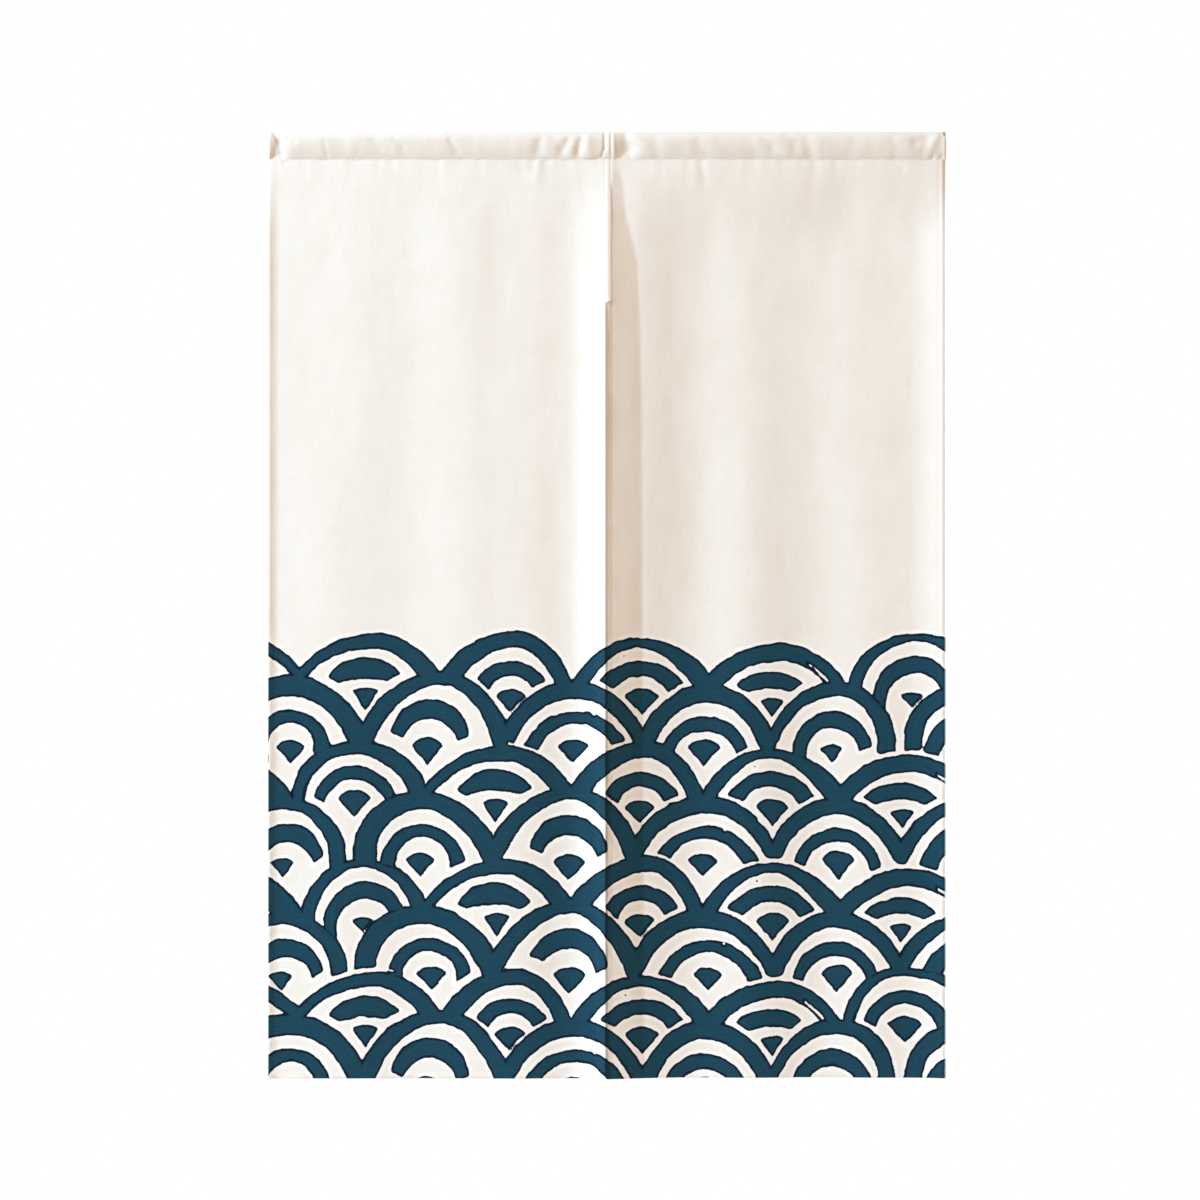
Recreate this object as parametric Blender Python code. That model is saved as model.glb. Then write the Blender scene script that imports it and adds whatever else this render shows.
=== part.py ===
"""A noren: two hung cloth panels, each under its own rod sleeve, seamed together at the top and slit below.

Metres, +Z up. The origin is the middle of the top edge, the cloth hangs down and its front faces -Y.
"""

import math
from collections import namedtuple

import bmesh
import bpy

# Driving sizes of the whole curtain
WIDTH = 0.855
DROP = 1.195
SLEEVE_HEIGHT = 0.0355
SLIT_START = 0.215

# Cloth, hems and the seam. The solid cloth is thicker than real cloth, as a sheet of this kind has to be.
CLOTH = 0.0012
HEM_EXTRA = 0.0010
HEM_WIDTH = 0.011
HEM_SLOPE = 0.0014
EDGE_ROUND = 0.0004
LAP = 0.0045
SLIT_GAP = 0.0012
GAP = 0.0003

# Cross-section of the rod sleeve: widest at the crest, drawn in to the stitch line under it
CREST_HEIGHT = 0.024
CREST_HALF_DEPTH = 0.008
STITCHED_HALF_DEPTH = 0.00125
SWELL_POWER = 0.9
TUNNEL_FLOOR = 0.0015
END_SQUEEZE = 0.08
END_REACH = 0.030

# The panels hang straight at the stitch line, and their folds reach full depth this far below it
FOLD_RAMP = 0.110
EDGE_ZONE = 0.055
LEFT_CURL_REACH = 0.048
LEFT_CURL_POWER = 2.0
RIGHT_CURL_POWER = 1.3

# How finely the solids are cut
COLUMN_STEP = 0.027
EDGE_COLUMN_STEP = 0.0085
ROW_STEP = 0.070
TOP_ROW_STEP = 0.024
SECTION_STEP = 0.017
SECTION_CLOSEST = 0.0035
SHARP_ANGLE = math.radians(40)
RING_HEIGHTS = (0.0, 0.12, 0.30, 0.50, 0.68, 0.83, 0.945)

# A soft fold: where it is across the curtain, how far it reaches, how far forward it stands
# under the heading and at the foot (a trough is below zero), and how far it leans by the foot.
Fold = namedtuple("Fold", "place reach top foot lean")
LEFT_FOLDS = (
    Fold(place=-0.335, reach=0.058, top=0.0004, foot=0.0032, lean=0.010),
    Fold(place=-0.250, reach=0.050, top=-0.0008, foot=-0.0028, lean=0.006),
    Fold(place=-0.190, reach=0.045, top=0.0018, foot=0.0004, lean=-0.010),
    Fold(place=-0.128, reach=0.046, top=0.0002, foot=0.0045, lean=0.008),
    Fold(place=-0.055, reach=0.032, top=-0.0010, foot=-0.0030, lean=0.000),
)
RIGHT_FOLDS = (
    Fold(place=0.080, reach=0.045, top=-0.0012, foot=-0.0045, lean=0.006),
    Fold(place=0.172, reach=0.042, top=0.0026, foot=0.0052, lean=0.012),
    Fold(place=0.262, reach=0.046, top=-0.0016, foot=-0.0050, lean=0.010),
    Fold(place=0.335, reach=0.034, top=-0.0008, foot=0.0022, lean=-0.006),
)

# The ridge along the seam and the slit: how far each panel's inner edge stands forward, and how
# far the right panel's slope reaches, widening from the pinch under the heading.
Ridge = namedtuple("Ridge", "drop left right reach")
RIDGE = (
    Ridge(drop=0.0355, left=0.0000, right=0.0000, reach=0.012),
    Ridge(drop=0.1000, left=0.0034, right=0.0034, reach=0.021),
    Ridge(drop=0.2150, left=0.0088, right=0.0076, reach=0.036),
    Ridge(drop=0.5000, left=0.0122, right=0.0090, reach=0.042),
    Ridge(drop=0.8500, left=0.0132, right=0.0094, reach=0.045),
    Ridge(drop=1.1950, left=0.0128, right=0.0088, reach=0.048),
)

# The outer edges turn a little forward: how far, and over what width
OUTER_CURL = {-1: (0.0030, 0.016), 1: (0.0058, 0.046)}

# A pucker of the heading: its place, half width, depth in the front wall and in the back wall
Pucker = namedtuple("Pucker", "place reach front back")
PUCKERS = {
    -1: (
        Pucker(place=-0.4170, reach=0.0055, front=0.0007, back=0.0004),
        Pucker(place=-0.2450, reach=0.0240, front=0.0007, back=0.0010),
        Pucker(place=-0.0910, reach=0.0060, front=0.0008, back=0.0003),
        Pucker(place=-0.0590, reach=0.0055, front=0.0014, back=0.0005),
        Pucker(place=-0.0360, reach=0.0055, front=0.0013, back=0.0009),
    ),
    1: (
        Pucker(place=0.0160, reach=0.0060, front=0.0013, back=0.0004),
        Pucker(place=0.1000, reach=0.0200, front=0.0005, back=0.0010),
        Pucker(place=0.2100, reach=0.0140, front=0.0011, back=0.0006),
        Pucker(place=0.3350, reach=0.0180, front=0.0006, back=0.0011),
        Pucker(place=0.4030, reach=0.0065, front=0.0008, back=0.0004),
    ),
}

PANEL_COLOUR = (0.905, 0.875, 0.820, 1.0)
SLEEVE_COLOUR = (0.885, 0.850, 0.790, 1.0)
CLOTH_ROUGHNESS = 0.92


def clear_scene():
    for old in list(bpy.data.objects):
        bpy.data.objects.remove(old)


def smooth(share):
    """0 below 0, 1 above 1, and an S curve between."""
    share = min(1.0, max(0.0, share))
    return share * share * (3.0 - 2.0 * share)


def hump(distance, reach):
    return math.exp(-((distance / reach) ** 2))


def between(rows, column, drop):
    """A column of a table of drops, read on a smooth curve through its rows."""
    drops = [row.drop for row in rows]
    values = [getattr(row, column) for row in rows]
    last = len(rows) - 1
    drop = min(max(drop, drops[0]), drops[last])
    low = max(i for i in range(last) if drops[i] <= drop)

    def slope(i):
        before, after = max(i - 1, 0), min(i + 1, last)
        return (values[after] - values[before]) / (drops[after] - drops[before])

    span = drops[low + 1] - drops[low]
    t = (drop - drops[low]) / span
    start, end = values[low], values[low + 1]
    return (
        (2 * t**3 - 3 * t**2 + 1) * start
        + (t**3 - 2 * t**2 + t) * span * slope(low)
        + (3 * t**2 - 2 * t**3) * end
        + (t**3 - t**2) * span * slope(low + 1)
    )


def spaced(start, end, step):
    """Evenly spaced places from start to end, both included, no more than a step apart."""
    count = max(1, math.ceil((end - start) / step))
    return [start + (end - start) * i / count for i in range(count + 1)]


def inner_edge(side, drop):
    """X of a panel's inner edge: the left panel laps to the right down to the slit."""
    if drop < SLIT_START:
        return LAP if side < 0 else LAP + GAP
    return side * SLIT_GAP / 2


def forward(side, x, drop):
    """How far a panel's front stands forward at this place."""
    share = (drop - SLEEVE_HEIGHT) / (DROP - SLEEVE_HEIGHT)
    rise = 0.0
    for fold in LEFT_FOLDS if side < 0 else RIGHT_FOLDS:
        amount = fold.top + (fold.foot - fold.top) * share
        rise += amount * hump(x - fold.place - fold.lean * share, fold.reach)
    curl, reach = OUTER_CURL[side]
    rise += curl * max(0.0, 1.0 - (WIDTH / 2 - abs(x)) / reach) ** 2
    rise *= smooth((drop - SLEEVE_HEIGHT) / FOLD_RAMP)
    distance = max(0.0, side * x)
    if side < 0:
        slope = max(0.0, 1.0 - distance / LEFT_CURL_REACH) ** LEFT_CURL_POWER
        return rise + between(RIDGE, "left", drop) * slope
    slope = max(0.0, 1.0 - distance / between(RIDGE, "reach", drop)) ** RIGHT_CURL_POWER
    return rise + between(RIDGE, "right", drop) * slope


def panel_columns():
    """Distances from a panel's inner edge to its outer one, closer near the seam and at the hems."""
    wide = WIDTH / 2
    hem = HEM_WIDTH + HEM_SLOPE
    return (
        [0.0, EDGE_ROUND * 2, HEM_WIDTH]
        + spaced(hem, EDGE_ZONE, EDGE_COLUMN_STEP)
        + spaced(EDGE_ZONE, wide - hem, COLUMN_STEP)[1:]
        + [wide - HEM_WIDTH, wide - EDGE_ROUND * 2, wide]
    )


def panel_rows():
    """Drops from the stitch line to the foot, closer above the slit and at the bottom hem."""
    top = SLEEVE_HEIGHT
    foot_hem = DROP - HEM_WIDTH - HEM_SLOPE
    return (
        spaced(top, SLIT_START - GAP, TOP_ROW_STEP)
        + spaced(SLIT_START, SLIT_START + ROW_STEP, ROW_STEP / 2)
        + spaced(SLIT_START + ROW_STEP, foot_hem, ROW_STEP)[1:]
        + [DROP - HEM_WIDTH, DROP - EDGE_ROUND * 2, DROP]
    )


def in_hem(distance, drop):
    """1 where the cloth is doubled by a side hem or the bottom hem, 0 where it is single."""
    from_edge = min(distance, WIDTH / 2 - distance, DROP - drop)
    return 1.0 - smooth((from_edge - HEM_WIDTH) / HEM_SLOPE)


def closed_mesh(name, front, back):
    """One closed body from two grids of points that face each other, as lists of rows."""
    rows, columns = len(front), len(front[0])
    build = bmesh.new()
    near = [[build.verts.new(point) for point in row] for row in front]
    far = [[build.verts.new(point) for point in row] for row in back]
    for r in range(rows - 1):
        for c in range(columns - 1):
            build.faces.new((near[r][c], near[r + 1][c], near[r + 1][c + 1], near[r][c + 1]))
            build.faces.new((far[r][c], far[r][c + 1], far[r + 1][c + 1], far[r + 1][c]))
    rim = [(0, c) for c in range(columns)]
    rim += [(r, columns - 1) for r in range(1, rows)]
    rim += [(rows - 1, c) for c in range(columns - 2, -1, -1)]
    rim += [(r, 0) for r in range(rows - 2, 0, -1)]
    for (r0, c0), (r1, c1) in zip(rim, rim[1:] + rim[:1]):
        build.faces.new((near[r0][c0], near[r1][c1], far[r1][c1], far[r0][c0]))
    return finished(name, build)


def finished(name, build):
    """The bmesh as a mesh with its faces pointing out, shaded smooth but for its edges."""
    bmesh.ops.recalc_face_normals(build, faces=build.faces)
    mesh = bpy.data.meshes.new(name)
    build.to_mesh(mesh)
    build.free()
    mesh.shade_smooth()
    mesh.set_sharp_from_angle(angle=SHARP_ANGLE)
    return mesh


def panel_mesh(name, side):
    """A hung panel: one sheet with its side and bottom hems turned to the back."""
    front, back = [], []
    for drop in panel_rows():
        front_row, back_row = [], []
        edge = inner_edge(side, drop)
        for distance in panel_columns():
            x = side * distance + edge * (1.0 - smooth(distance / EDGE_ZONE))
            rounding = EDGE_ROUND if distance in (0.0, WIDTH / 2) or drop == DROP else 0.0
            y = -CLOTH - forward(side, x, drop)
            thick = CLOTH + HEM_EXTRA * in_hem(distance, drop)
            front_row.append((x, y + rounding, -drop))
            back_row.append((x, y + thick - rounding, -drop))
        front.append(front_row)
        back.append(back_row)
    return closed_mesh(name, front, back)


def half_depth(height, inset):
    """Half the sleeve's depth at a height over the stitch line, or the tunnel's, an inset inside it."""
    if height <= CREST_HEIGHT:
        swell = math.sin(math.pi / 2 * (height / CREST_HEIGHT) ** SWELL_POWER)
        return STITCHED_HALF_DEPTH + (CREST_HALF_DEPTH - STITCHED_HALF_DEPTH) * swell - inset
    top = SLEEVE_HEIGHT - GAP - inset
    over = min(1.0, (height - CREST_HEIGHT) / (top - CREST_HEIGHT))
    return (CREST_HALF_DEPTH - inset) * math.sqrt(1.0 - over * over)


def sleeve_ends(side):
    """Distances of a sleeve's inner and outer end from the middle: the sleeves meet where the panels do."""
    return side * inner_edge(side, SLEEVE_HEIGHT), WIDTH / 2


def from_end(side, x):
    """How far a place on a sleeve is from the nearer of its ends."""
    inner, outer = sleeve_ends(side)
    return min(side * x - inner, outer - side * x)


def sleeve_ring(side, x, inset):
    """Points round the sleeve at this place, up the front wall and down the back one."""
    floor = TUNNEL_FLOOR if inset else 0.0
    top = SLEEVE_HEIGHT - GAP - inset
    squeeze = 1.0 - END_SQUEEZE * (1.0 - smooth(from_end(side, x) / END_REACH))
    walls = {"front": [], "back": []}
    for share in RING_HEIGHTS:
        height = floor + (top - floor) * share
        for wall, points in walls.items():
            depth = half_depth(height, 0.0) * squeeze
            for pucker in PUCKERS[side]:
                dent = getattr(pucker, wall) * math.sin(math.pi * min(1.0, height / CREST_HEIGHT))
                depth -= dent * hump(x - pucker.place, pucker.reach)
            if inset and height <= CREST_HEIGHT:
                depth = max(GAP, depth - inset)
            elif inset:
                depth *= half_depth(height, inset) / half_depth(height, 0.0)
            points.append((x, -depth if wall == "front" else depth, height - SLEEVE_HEIGHT + GAP))
    crown = (x, 0.0, top - SLEEVE_HEIGHT + GAP)
    return walls["front"] + [crown] + walls["back"][::-1]


def sleeve_sections(side):
    """Places along the sleeve that are cut: evenly, closer at each pucker, and at the end hems."""
    start, wide = sleeve_ends(side)
    hem = HEM_WIDTH
    places = [start, start + hem, start + hem + HEM_SLOPE]
    places += [wide - hem - HEM_SLOPE, wide - hem, wide]
    near_puckers = [
        side * pucker.place + step * pucker.reach for pucker in PUCKERS[side] for step in (-1, 0, 1)
    ]
    for place in near_puckers + spaced(start, wide, SECTION_STEP):
        inside = start < place < wide
        if inside and min(abs(place - other) for other in places) > SECTION_CLOSEST:
            places.append(place)
    return [side * place for place in sorted(places)]


def sleeve_mesh(name, side):
    """A rod sleeve: a tube of cloth, open at both ends, its end hems doubled on the inside."""
    build = bmesh.new()
    outer, inner = [], []
    for x in sleeve_sections(side):
        doubled = 1.0 - smooth((from_end(side, x) - HEM_WIDTH) / HEM_SLOPE)
        wall = CLOTH + HEM_EXTRA * doubled
        outer.append([build.verts.new(point) for point in sleeve_ring(side, x, 0.0)])
        inner.append([build.verts.new(point) for point in sleeve_ring(side, x, wall)])
    around = len(outer[0])
    for rings in (outer, inner):
        for ring, following in zip(rings, rings[1:]):
            for i in range(around):
                j = (i + 1) % around
                build.faces.new((ring[i], ring[j], following[j], following[i]))
    for end in (0, -1):
        for i in range(around):
            j = (i + 1) % around
            build.faces.new((outer[end][i], outer[end][j], inner[end][j], inner[end][i]))
    return finished(name, build)


def cloth_material(name, colour):
    material = bpy.data.materials.new(name)
    material.use_nodes = True
    shader = material.node_tree.nodes["Principled BSDF"]
    shader.inputs["Base Color"].default_value = colour
    shader.inputs["Roughness"].default_value = CLOTH_ROUGHNESS
    shader.inputs["Metallic"].default_value = 0.0
    return material


def add_piece(name, mesh, colour):
    mesh.materials.append(cloth_material(name, colour))
    piece = bpy.data.objects.new(name, mesh)
    bpy.context.scene.collection.objects.link(piece)


def main():
    clear_scene()
    for word, side in (("left", -1), ("right", 1)):
        panel, sleeve = f"panel_{word}", f"sleeve_{word}"
        add_piece(panel, panel_mesh(panel, side), PANEL_COLOUR)
        add_piece(sleeve, sleeve_mesh(sleeve, side), SLEEVE_COLOUR)


main()
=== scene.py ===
"""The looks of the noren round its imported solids: thin cloth with folds, hems and puckers, the
stitching, and the wave print on the lower part.

Metres, +Z up. The origin is the middle of the top edge. The cloth hangs down and its front
faces -Y.
"""

import math
from collections import namedtuple

import bpy
import numpy as np
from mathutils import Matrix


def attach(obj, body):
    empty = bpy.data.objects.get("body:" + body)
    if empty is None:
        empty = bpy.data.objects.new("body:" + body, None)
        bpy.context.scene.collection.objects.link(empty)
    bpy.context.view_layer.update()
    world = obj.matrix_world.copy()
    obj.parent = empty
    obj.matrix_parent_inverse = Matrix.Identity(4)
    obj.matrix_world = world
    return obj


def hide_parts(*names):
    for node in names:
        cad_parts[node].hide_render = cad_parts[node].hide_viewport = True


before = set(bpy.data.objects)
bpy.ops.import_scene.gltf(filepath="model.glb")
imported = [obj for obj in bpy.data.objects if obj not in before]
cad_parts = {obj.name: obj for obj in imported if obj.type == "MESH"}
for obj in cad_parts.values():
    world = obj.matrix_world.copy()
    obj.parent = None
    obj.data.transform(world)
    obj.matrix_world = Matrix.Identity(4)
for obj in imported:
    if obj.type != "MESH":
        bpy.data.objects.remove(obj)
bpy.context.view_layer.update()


def table(kind, *rows):
    return tuple(kind(*row) for row in rows)


# Sizes and folds of the solids, which the fine cloth repeats. The ridge by the slit and the curls
# of the outer edges stand out further on the fine cloth than on the solids.
WIDTH = 0.855
DROP = 1.195
SLEEVE_HEIGHT = 0.0355
SLIT_START = 0.215
CLOTH = 0.0012
HEM_WIDTH = 0.011
HEM_SLOPE = 0.0014
LAP = 0.0045
GAP = 0.0003
CREST_HEIGHT = 0.024
CREST_HALF_DEPTH = 0.008
STITCHED_HALF_DEPTH = 0.00125
SWELL_POWER = 0.9
END_SQUEEZE = 0.08
END_REACH = 0.030
FOLD_RAMP = 0.110
EDGE_ZONE = 0.055
LEFT_CURL_REACH = 0.048
LEFT_CURL_POWER = 2.0
RIGHT_CURL_POWER = 1.08

Fold = namedtuple("Fold", "place reach top foot lean")
LEFT_FOLDS = table(
    Fold,
    (-0.335, 0.058, 0.0004, 0.0032, 0.010),
    (-0.250, 0.050, -0.0008, -0.0028, 0.006),
    (-0.190, 0.045, 0.0018, 0.0004, -0.010),
    (-0.128, 0.046, 0.0002, 0.0045, 0.008),
    (-0.055, 0.032, -0.0010, -0.0030, 0.000),
)
RIGHT_FOLDS = table(
    Fold,
    (0.080, 0.045, -0.0012, -0.0045, 0.006),
    (0.172, 0.042, 0.0026, 0.0052, 0.012),
    (0.262, 0.046, -0.0016, -0.0050, 0.010),
    (0.335, 0.034, -0.0008, 0.0022, -0.006),
)

Ridge = namedtuple("Ridge", "drop left right reach")
RIDGE = table(
    Ridge,
    (0.0355, 0.0003, 0.0003, 0.0060),
    (0.0560, 0.0028, 0.0028, 0.0180),
    (0.0990, 0.0062, 0.0064, 0.0225),
    (0.1300, 0.0082, 0.0086, 0.0300),
    (0.1620, 0.0103, 0.0108, 0.0375),
    (0.2120, 0.0115, 0.0120, 0.0400),
    (0.3000, 0.0136, 0.0132, 0.0430),
    (0.5000, 0.0142, 0.0138, 0.0440),
    (0.8500, 0.0144, 0.0140, 0.0455),
    (1.1950, 0.0140, 0.0134, 0.0470),
)
Curl = namedtuple("Curl", "rise reach")
OUTER_CURL = {-1: Curl(rise=0.0036, reach=0.0145), 1: Curl(rise=0.0076, reach=0.0440)}

# Shallow slopes that the solids leave out: how far the cloth stands forward of them across a panel
Slope = namedtuple("Slope", "place rise")
SLOPES = {
    -1: table(
        Slope,
        (-0.4300, 0.0000),
        (-0.3000, 0.0000),
        (-0.1730, 0.0003),
        (-0.1350, -0.0009),
        (-0.0800, 0.0000),
        (0.0100, 0.0000),
    ),
    1: table(
        Slope,
        (0.0000, 0.0000),
        (0.0450, 0.0000),
        (0.1200, -0.0096),
        (0.1700, -0.0114),
        (0.3100, -0.0096),
        (0.3800, -0.0084),
        (0.4300, -0.0058),
    ),
}

Pucker = namedtuple("Pucker", "place reach front back")
PUCKERS = {
    -1: table(
        Pucker,
        (-0.4170, 0.0055, 0.0007, 0.0004),
        (-0.2450, 0.0240, 0.0007, 0.0010),
        (-0.0910, 0.0060, 0.0008, 0.0003),
        (-0.0590, 0.0055, 0.0014, 0.0005),
        (-0.0360, 0.0055, 0.0013, 0.0009),
    ),
    1: table(
        Pucker,
        (0.0160, 0.0060, 0.0013, 0.0004),
        (0.1000, 0.0200, 0.0005, 0.0010),
        (0.2100, 0.0140, 0.0011, 0.0006),
        (0.3350, 0.0180, 0.0006, 0.0011),
        (0.4030, 0.0065, 0.0008, 0.0004),
    ),
}

# The fine cloth: real sheets are thinner than the solids, and their edges are rounded
SHEET = 0.0008
TURNED = 0.0009
ROUNDING = 0.0012
ROUNDED_SHARE = 0.35
SHARP_ANGLE = math.radians(55)

# The grid of a panel's front: how far each stretch of columns or rows goes on, and the most that
# they are apart. Columns count from the inner edge and rows from the top. Three lines lie close to
# every edge, where the cloth turns.
Stretch = namedtuple("Stretch", "end step")
EDGE_LINES = (0.0004, 0.0010)
EDGE_BAND = 0.0165
LAST_COLUMN = 0.0019
LAST_ROW = 0.0020
SLIT_ZONE = 0.006
COLUMNS = table(
    Stretch,
    (0.0070, 0.0006),
    (EDGE_BAND, 0.0019),
    (WIDTH / 2 - EDGE_BAND, 0.0022),
    (WIDTH / 2 - LAST_COLUMN, 0.0019),
)
ROWS = table(
    Stretch,
    (0.066, 0.0030),
    (SLIT_START - SLIT_ZONE, 0.0058),
    (SLIT_START + SLIT_ZONE, 0.0012),
    (0.615, 0.0085),
    (DROP - LAST_ROW, 0.0022),
)

# Small unevenness: how far it stands out, the size of its bumps across and down, and how far from
# its sewn line it dies away. The first two instead grow over that length below the heading.
Ripple = namedtuple("Ripple", "rise across down reach", defaults=(None,))
SOFT_WAVES = Ripple(rise=0.00055, across=0.0600, down=0.170, reach=0.05)
FINE_WAVES = Ripple(rise=0.00018, across=0.0220, down=0.050, reach=0.03)
BELOW_HEADING = Ripple(rise=0.00040, across=0.0085, down=0.060, reach=0.014)
BY_SLIT = Ripple(rise=0.00060, across=0.0500, down=0.021, reach=0.016)
BY_OUTER_EDGE = Ripple(rise=0.00045, across=0.0500, down=0.017, reach=0.010)
BY_FOOT = Ripple(rise=0.00040, across=0.0170, down=0.050, reach=0.012)
ON_SLEEVE = Ripple(rise=0.00050, across=0.0240, down=0.050)
FINE_ON_SLEEVE = Ripple(rise=0.00020, across=0.0095, down=0.022)
SEAM_REACH = 0.014
SEAM_SHARE = 0.25

# Seeds of the noise. Both panels ripple alike beside the slit, so that their edges stay together.
PANEL_SEED = {-1: 11, 1: 23}
SLIT_SEED = 14
SLEEVE_SEED = {-1: 31, 1: 41}
BACK_SEED = 5
SWAY_SEED = 5
ROUGH_SEED = 9

# Relief that sewing leaves: dents along the stitch lines, the lapped seam and the rolled edges.
# Below the seam the left panel's edge turns forward, and the right one's is tucked behind it.
HEM_STITCH = 0.0095
STITCH_REACH = 0.0013
STITCH_DENT = 0.00032
OUTER_DENT = {-1: 0.35, 1: 1.0}
LAP_WIDTH = 0.0064
LAP_RISE = 0.0003
LAP_STEP = 0.0016
LAP_DENT = STITCH_DENT * 1.3
LAP_EDGE_DENT = STITCH_DENT * 0.7
LAP_EDGE_REACH = 0.0008
LAP_EDGE_STITCH = 0.0022
LAP_EDGE_FALL = 0.0003
SLIT_CORNER = 0.0030
FREE_EDGE = 0.0022
LIP_RISE = 0.0034
LIP_WIDTH = 0.0180
TUCKED = 0.0034
TUCK_DEPTH = 0.0060
TUCK_FLAT = 0.0018
TUCK_WIDTH = 0.0027
Roll = namedtuple("Roll", "place reach rise")
SLIT_ROLL = Roll(place=0.0058, reach=0.0019, rise=0.0002)
END_ROLL = Roll(place=0.0022, reach=0.0014, rise=0.0004)
Fall = namedtuple("Fall", "depth width")
OUTER_FALL = {-1: Fall(depth=0.0006, width=0.0020), 1: Fall(depth=0.0022, width=0.0042)}
FOOT_FALL = Fall(depth=0.0006, width=0.0020)

# The sleeves' ends are rolled, and the right one's front wall gapes open high up at its outer end
SLEEVE_STEP = 0.0015
SLEEVE_LAST = 0.0018
SLEEVE_SHARES = 1.0 - (1.0 - np.linspace(0.0, 1.0, 25)) ** 1.25
PUCKER_SHARE = 0.7
STITCHED_FLAT = 0.004
TOP_FLAT = 0.010
CREASED_DEPTH = 0.0030
END_FALL = 0.0005
LEAST_DEPTH = 0.0009
STITCHED_FLOOR = 0.0014
GAPE = 0.0036
GAPE_REACH = 0.012
GAPE_START = 0.0270
GAPE_RAMP = 0.0035

# A crease of the heading or of a panel's top: a line from one end to the other, in millimetres
# across and down, with its half width at each end. It is cut in by its depth, and a ridge is below
# zero.
Crease = namedtuple("Crease", "x0 drop0 x1 drop1 reach0 reach1 depth")


def creases(*rows):
    return tuple(Crease(*(number / 1000.0 for number in row)) for row in rows)


LEFT_SLEEVE_CREASES = creases(
    (-3.3, 2.0, -3.3, 22.0, 1.7, 1.7, 1.6),
    (-3.3, 22.0, -6.5, 31.0, 1.6, 1.4, 1.3),
    (-6.5, 31.0, -13.0, 34.0, 1.4, 1.1, 0.8),
    (-85.0, 14.0, -85.5, 24.0, 6.0, 7.0, 1.3),
    (-50.0, 13.0, -55.0, 24.0, 4.8, 6.0, 1.5),
    (-33.0, 12.0, -36.5, 28.0, 4.4, 5.2, 1.4),
    (-24.0, 8.0, -22.0, 33.0, 5.0, 6.0, -0.7),
    (-198.0, 12.0, -190.0, 24.0, 4.0, 5.5, 0.9),
    (-268.0, 11.0, -258.0, 20.0, 4.5, 5.0, 0.8),
    (-295.0, 11.0, -286.0, 22.0, 5.0, 6.0, 0.5),
    (-357.0, 13.0, -353.0, 32.0, 3.0, 3.2, 0.5),
    (-402.0, 9.5, -394.0, 13.0, 3.2, 3.2, 0.8),
    (-421.0, 1.0, -412.5, 15.0, 2.2, 3.4, 1.7),
    (-419.0, 24.0, -421.0, 32.0, 2.8, 2.4, 1.0),
    (-412.5, 15.0, -412.5, 29.0, 8.0, 7.6, 2.7),
    (-422.0, 32.5, -412.5, 30.0, 2.4, 2.2, 1.4),
)
RIGHT_SLEEVE_CREASES = creases(
    (8.8, 3.0, 9.2, 33.0, 2.0, 1.8, -0.8),
    (23.0, 8.0, 27.0, 22.0, 8.0, 10.0, 2.6),
    (27.0, 22.0, 22.0, 33.5, 10.0, 7.0, 2.4),
    (61.0, 12.0, 65.0, 33.0, 8.0, 8.4, 0.9),
    (116.0, 13.0, 125.0, 30.0, 8.0, 9.0, 0.9),
    (182.0, 12.0, 186.0, 32.0, 9.0, 10.0, 0.9),
    (199.0, 12.0, 208.0, 18.0, 7.0, 8.0, 1.0),
    (226.0, 8.0, 236.0, 18.0, 8.0, 9.0, 0.8),
    (250.0, 12.0, 258.0, 33.0, 8.0, 8.6, 1.3),
    (311.0, 12.0, 305.0, 32.0, 8.0, 8.6, 0.5),
    (361.0, 12.0, 364.0, 32.0, 7.0, 7.0, 0.6),
    (390.0, 14.0, 401.0, 10.5, 7.4, 7.6, 1.7),
    (416.0, 6.0, 404.0, 30.0, 5.0, 5.6, -1.0),
    (411.0, 32.0, 410.5, 34.5, 2.0, 2.0, 1.2),
    (422.5, 33.0, 421.5, 34.5, 2.6, 2.2, 1.3),
)
LEFT_PANEL_CREASES = creases(
    (-112.0, 38.0, -106.0, 52.0, 3.0, 5.0, 0.5),
    (-86.0, 38.0, -90.0, 60.0, 4.0, 7.0, -0.6),
    (-408.0, 39.0, -406.0, 41.0, 2.4, 2.4, 0.8),
)
RIGHT_PANEL_CREASES = creases(
    (6.0, 37.0, 7.0, 60.0, 7.0, 8.0, -0.8),
    (118.0, 38.0, 123.0, 64.0, 4.0, 6.0, 0.6),
    (300.0, 84.0, 300.0, 105.0, 33.0, 36.0, 2.8),
    (362.0, 38.0, 374.0, 47.0, 3.0, 3.0, 0.6),
    (262.0, 40.0, 256.0, 90.0, 6.0, 12.0, 0.7),
)


def smooth(share):
    """0 below 0, 1 above 1, and an S curve between."""
    share = np.clip(share, 0.0, 1.0)
    return share * share * (3.0 - 2.0 * share)


def hump(distance, reach):
    return np.exp(-((distance / reach) ** 2))


def between(rows, column, drop):
    """A column of a table, read on a smooth curve over places in its first column."""
    drops = np.array([row[0] for row in rows])
    values = np.array([getattr(row, column) for row in rows])
    last = len(rows) - 1
    order = np.arange(len(rows))
    after, before = np.minimum(order + 1, last), np.maximum(order - 1, 0)
    slopes = (values[after] - values[before]) / (drops[after] - drops[before])
    drop = np.clip(drop, drops[0], drops[last])
    low = np.clip(np.searchsorted(drops, drop, side="right") - 1, 0, last - 1)
    span = drops[low + 1] - drops[low]
    t = (drop - drops[low]) / span
    return (
        (2 * t**3 - 3 * t**2 + 1) * values[low]
        + (t**3 - 2 * t**2 + t) * span * slopes[low]
        + (3 * t**2 - 2 * t**3) * values[low + 1]
        + (t**3 - t**2) * span * slopes[low + 1]
    )


def spaced(start, end, step):
    """Evenly spaced places from start to end, both included, no more than a step apart."""
    return list(np.linspace(start, end, max(1, math.ceil((end - start) / step)) + 1))


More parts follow.
